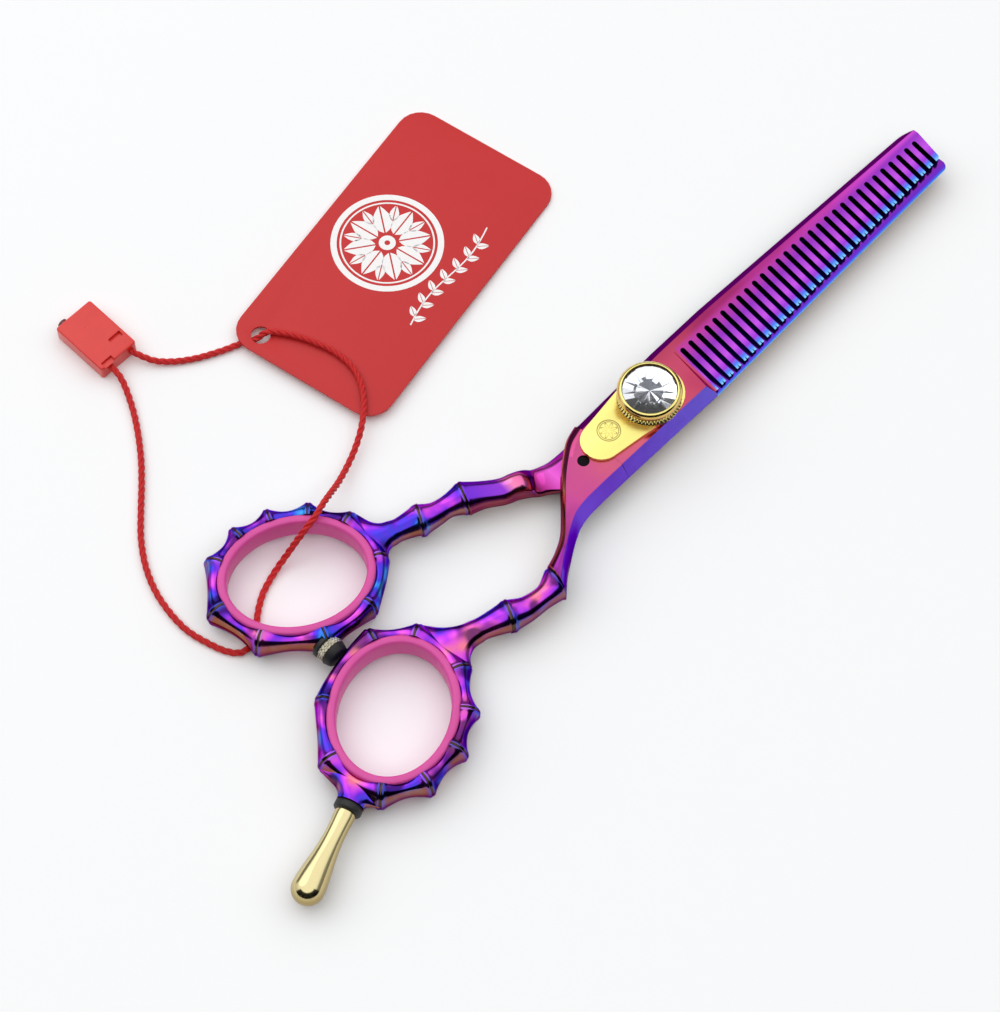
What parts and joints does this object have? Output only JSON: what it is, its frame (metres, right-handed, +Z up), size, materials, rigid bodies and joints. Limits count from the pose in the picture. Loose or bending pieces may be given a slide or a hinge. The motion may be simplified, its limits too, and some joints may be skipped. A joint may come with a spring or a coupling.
{
  "type": "thinning shears",
  "caption": "Hairdresser's thinning shears with a toothed blade, bamboo-pattern handles, soft ring inserts, tension knob, finger rest and a corded hang tag.",
  "frame": {"origin": "on the pivot axis, in the plane that the shears rest on, at the underside of the pivot screw's head", "axes": "+X to the blade tips, +Z up out of the tension knob, +Y towards the thumb ring"},
  "size_m": [0.1761, 0.1088, 0.0113],
  "materials": {
    "rainbow_blade": "mirror-polished rainbow titanium coating",
    "rainbow_handle": "glossy rainbow titanium coating",
    "pink_silicone": "soft satin silicone",
    "bronze_bush": "plain bronze",
    "white_nylon": "smooth low-friction plastic",
    "gold_metal": "polished gold plating",
    "gold_plate": "satin gold plating",
    "dark_pin": "black oxide",
    "spring_steel": "plain spring steel",
    "black_rubber": "matte rubber",
    "crystal": "faceted foil-backed crystal",
    "pale_gold": "polished pale gold plating",
    "knurled_steel": "knurled nickel plating",
    "red_card": "coated card with a white print",
    "red_cord": "twisted waxed cord",
    "red_seal": "moulded plastic",
    "dark_red_pin": "moulded plastic"
  },
  "bodies": {
    "straight_half": {"straight_blade": "rainbow_blade", "straight_handle": "rainbow_handle", "thumb_ring_insert": "pink_silicone", "pivot_bushing": "bronze_bush", "pivot_washer": "white_nylon", "hang_tag": "red_card", "tag_cord": "red_cord", "seal_body": "red_seal", "seal_pin": "dark_red_pin"},
    "comb_half": {"comb_blade": "rainbow_blade", "comb_handle": "rainbow_handle", "finger_ring_insert": "pink_silicone", "pivot_screw": "gold_metal", "click_plate": "gold_plate", "plate_pin": "dark_pin", "spring_washer": "spring_steel"},
    "knob": {"tension_knob": "gold_metal", "knob_gem": "crystal"},
    "finger_rest_rod": {"finger_rest": "pale_gold", "finger_rest_washer": "black_rubber"},
    "bumper": {"bumper_stud": "spring_steel", "bumper_base": "black_rubber", "bumper_collar": "knurled_steel", "bumper_tip": "black_rubber"}
  },
  "joints": [
    {"name": "blade_pivot", "type": "hinge", "parent": "straight_half", "child": "comb_half", "pos_m": [0, 0, 0.0044], "axis": [0, 0, 1], "range_deg": [0, 70]},
    {"name": "knob_turn", "type": "hinge", "parent": "comb_half", "child": "knob", "pos_m": [0, 0, 0.0078], "axis": [0, 0, 1], "range_deg": [-90, 90]},
    {"name": "finger_rest_turn", "type": "hinge", "parent": "comb_half", "child": "finger_rest_rod", "pos_m": [-0.086, -0.0153, 0.00375], "axis": [-0.9367, -0.3502, 0], "range_deg": [-90, 90]},
    {"name": "bumper_turn", "type": "hinge", "parent": "straight_half", "child": "bumper", "pos_m": [-0.0693, 0.0082, 0.00375], "axis": [0, -1, 0], "range_deg": [-90, 90]}
  ]
}
